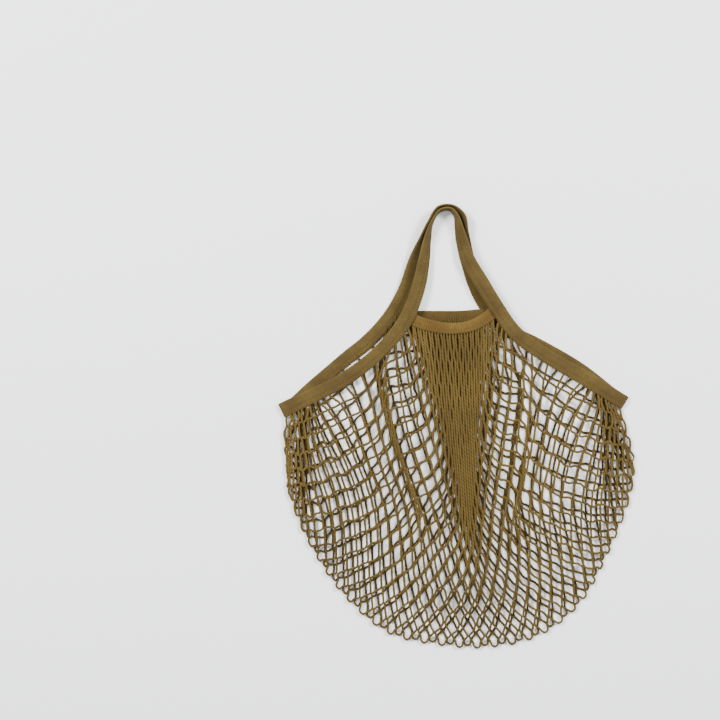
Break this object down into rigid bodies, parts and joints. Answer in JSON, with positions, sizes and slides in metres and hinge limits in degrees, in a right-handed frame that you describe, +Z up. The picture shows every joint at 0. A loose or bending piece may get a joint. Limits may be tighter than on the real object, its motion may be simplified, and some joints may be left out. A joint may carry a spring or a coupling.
{
  "type": "mesh bag",
  "caption": "Soft cotton net shopping bag with gathered bands and short knitted-tape handles, lying flat on its back.",
  "frame": {"origin": "on the surface that the bag lies on, under the middle of its box", "axes": "+Z up from the surface, +Y from the net's bottom towards the handles, +X to the right seen from above with the handles up"},
  "size_m": [0.4083, 0.5088, 0.0209],
  "materials": {
    "net_cord": "soft spun cotton cord, knitted, olive brown",
    "band_tape": "ribbed cotton knit band, olive brown",
    "handle_tape": "ribbed cotton knit tape, olive brown"
  },
  "bodies": {
    "root": {"net_front": "net_cord", "net_back": "net_cord", "front_band": "band_tape", "back_band": "band_tape", "front_handle_tape": "handle_tape", "back_handle_tape": "handle_tape"}
  },
  "joints": []
}
